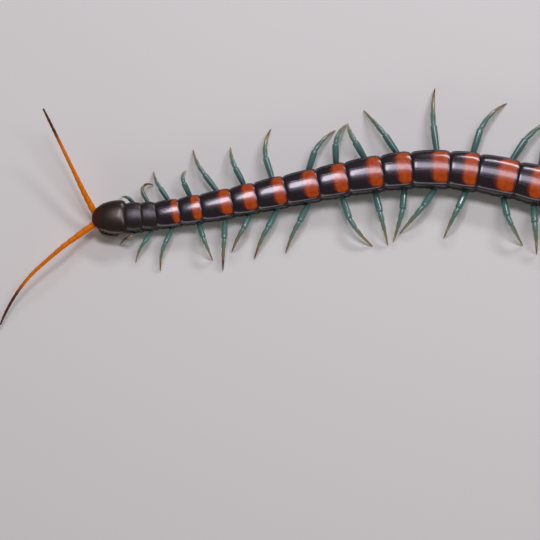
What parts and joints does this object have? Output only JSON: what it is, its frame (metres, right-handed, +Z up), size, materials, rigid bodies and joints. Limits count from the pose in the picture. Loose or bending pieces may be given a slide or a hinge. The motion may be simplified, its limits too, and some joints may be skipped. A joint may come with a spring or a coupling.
{
  "type": "giant centipede",
  "caption": "Still life-size model of a banded giant centipede in a walking pose, with segmented body, feelers, fangs and legs that stand on small flats.",
  "frame": {"origin": "centre of the bounding box's footprint, on the floor that the feet stand on", "axes": "-X towards the head, +X towards the tail, +Y to the animal's right, +Z up"},
  "size_m": [0.1352, 0.0424, 0.0062],
  "materials": {
    "body_shell": "glossy black cuticle with an orange band across the rear of each back plate",
    "head_shell": "glossy black cuticle, browner towards the front edge",
    "leg_shell": "glossy blue-green cuticle that turns olive and brown towards the claw",
    "antenna_shell": "orange cuticle, satin from fine hairs, dark brown over the last quarter",
    "fang_shell": "glossy red-brown cuticle with black tips"
  },
  "bodies": {
    "root": {"head": "head_shell", "antenna_left": "antenna_shell", "antenna_right": "antenna_shell", "forcipule_left": "fang_shell", "forcipule_right": "fang_shell", "trunk_01": "body_shell", "trunk_02": "body_shell", "trunk_03": "body_shell", "trunk_04": "body_shell", "trunk_05": "body_shell", "trunk_06": "body_shell", "trunk_07": "body_shell", "trunk_08": "body_shell", "trunk_09": "body_shell", "trunk_10": "body_shell", "trunk_11": "body_shell", "leg_left_01": "leg_shell", "leg_left_02": "leg_shell", "leg_left_03": "leg_shell", "leg_left_04": "leg_shell", "leg_left_05": "leg_shell", "leg_left_06": "leg_shell", "leg_left_07": "leg_shell", "leg_left_08": "leg_shell", "leg_left_09": "leg_shell", "leg_left_10": "leg_shell", "leg_left_11": "leg_shell", "leg_left_12": "leg_shell", "leg_left_13": "leg_shell", "leg_left_14": "leg_shell", "leg_left_15": "leg_shell", "leg_left_16": "leg_shell", "leg_left_17": "leg_shell", "leg_left_18": "leg_shell", "leg_left_19": "leg_shell", "leg_left_20": "leg_shell", "leg_left_21": "leg_shell", "leg_right_01": "leg_shell", "leg_right_02": "leg_shell", "leg_right_03": "leg_shell", "leg_right_04": "leg_shell", "leg_right_05": "leg_shell", "leg_right_06": "leg_shell", "leg_right_07": "leg_shell", "leg_right_08": "leg_shell", "leg_right_09": "leg_shell", "leg_right_10": "leg_shell", "leg_right_11": "leg_shell", "leg_right_12": "leg_shell", "leg_right_13": "leg_shell", "leg_right_14": "leg_shell", "leg_right_15": "leg_shell", "leg_right_16": "leg_shell", "leg_right_17": "leg_shell", "leg_right_18": "leg_shell", "leg_right_19": "leg_shell", "leg_right_20": "leg_shell", "leg_right_21": "leg_shell"}
  },
  "joints": []
}
